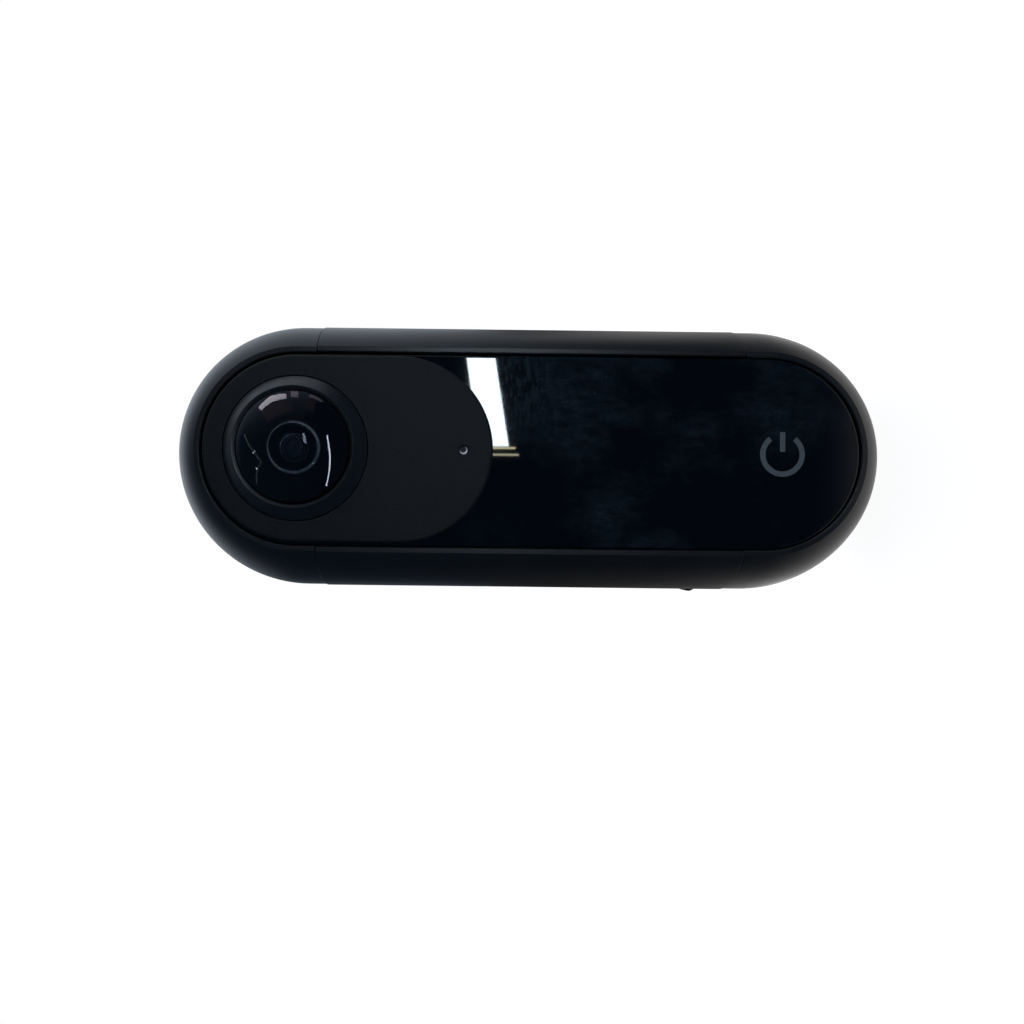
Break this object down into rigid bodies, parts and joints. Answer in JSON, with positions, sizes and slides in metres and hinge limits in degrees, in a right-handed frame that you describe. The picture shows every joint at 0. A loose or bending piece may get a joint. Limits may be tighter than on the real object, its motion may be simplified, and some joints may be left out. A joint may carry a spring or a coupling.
{
  "type": "360 degree camera",
  "caption": "Slim pill-shaped pocket camera with a fisheye dome lens on each face, a slide-out phone plug and a tripod thread.",
  "frame": {"origin": "centre of the tripod thread's mouth, on the flat at the foot of the camera", "axes": "+Z along the body towards the lens end, -Y out of the front face (the one in the picture), +X out of the port side"},
  "size_m": [0.0365, 0.025, 0.096],
  "materials": {
    "band": "satin",
    "glass_black": "gloss",
    "cover_matte": "matte",
    "lens_ring": "satin",
    "lens_glass": "coated",
    "window": "clear",
    "black_metal": "black anodised",
    "alloy": "cast",
    "steel": "satin",
    "plated": "polished",
    "gold": "plated",
    "board": "solder mask",
    "chip": "moulded",
    "flex": "polyimide",
    "cell_foil": "foil",
    "tape": "foam",
    "moulding": "moulded",
    "white_moulding": "moulded",
    "button": "satin"
  },
  "bodies": {
    "camera": {"lens_end_cap": "band", "foot_end_cap": "band", "port_side_rail": "band", "plug_side_rail": "band", "front_glass": "glass_black", "rear_glass": "glass_black", "front_glass_tape": "tape", "rear_glass_tape": "tape", "front_lens_cover": "cover_matte", "rear_lens_cover": "cover_matte", "front_lens_ring": "lens_ring", "rear_lens_ring": "lens_ring", "front_dome_lens": "lens_glass", "rear_dome_lens": "lens_glass", "front_lens_barrel": "black_metal", "rear_lens_barrel": "black_metal", "front_inner_lens": "lens_glass", "rear_inner_lens": "lens_glass", "front_lens_gasket": "tape", "rear_lens_gasket": "tape", "front_prism": "lens_glass", "rear_prism": "lens_glass", "port_side_lens_cell": "black_metal", "plug_side_lens_cell": "black_metal", "port_side_relay_lens": "lens_glass", "plug_side_relay_lens": "lens_glass", "port_side_sensor": "board", "plug_side_sensor": "board", "lens_block": "alloy", "front_indicator_window": "window", "rear_indicator_window": "window", "mid_frame": "alloy", "main_board": "board", "board_chips": "chip", "heat_spreader": "alloy", "battery": "cell_foil", "usb_port": "steel", "card_socket": "steel", "microphones": "gold", "antenna": "white_moulding", "indicator_board": "board", "tripod_insert": "steel", "tact_switch": "steel", "button_board": "board", "battery_flex": "flex", "sensor_flexes": "flex", "button_flex": "flex", "board_screws": "steel", "lens_block_screws": "steel", "guide_screws": "steel", "plug_guide": "white_moulding"},
    "shutter_button": {"shutter_button": "button"},
    "phone_plug": {"phone_plug": "plated", "plug_contacts": "gold", "plug_carrier": "moulding"},
    "plug_slider": {"slider_knob": "button", "slider_plate": "steel"}
  },
  "joints": [
    {"name": "button_press", "type": "slide", "parent": "camera", "child": "shutter_button", "axis": [0, -1, 0], "range_m": [0, 0.00035], "stiffness_N_per_m": 2500},
    {"name": "slider_slide", "type": "slide", "parent": "camera", "child": "plug_slider", "axis": [0, 0, 1], "range_m": [0, 0.008]},
    {"name": "plug_extend", "type": "slide", "parent": "camera", "child": "phone_plug", "axis": [-1, 0, 0], "range_m": [0, 0.0074]}
  ],
  "couplings": [
    {"joint": "plug_extend", "follows": "slider_slide", "ratio": 0.925}
  ]
}
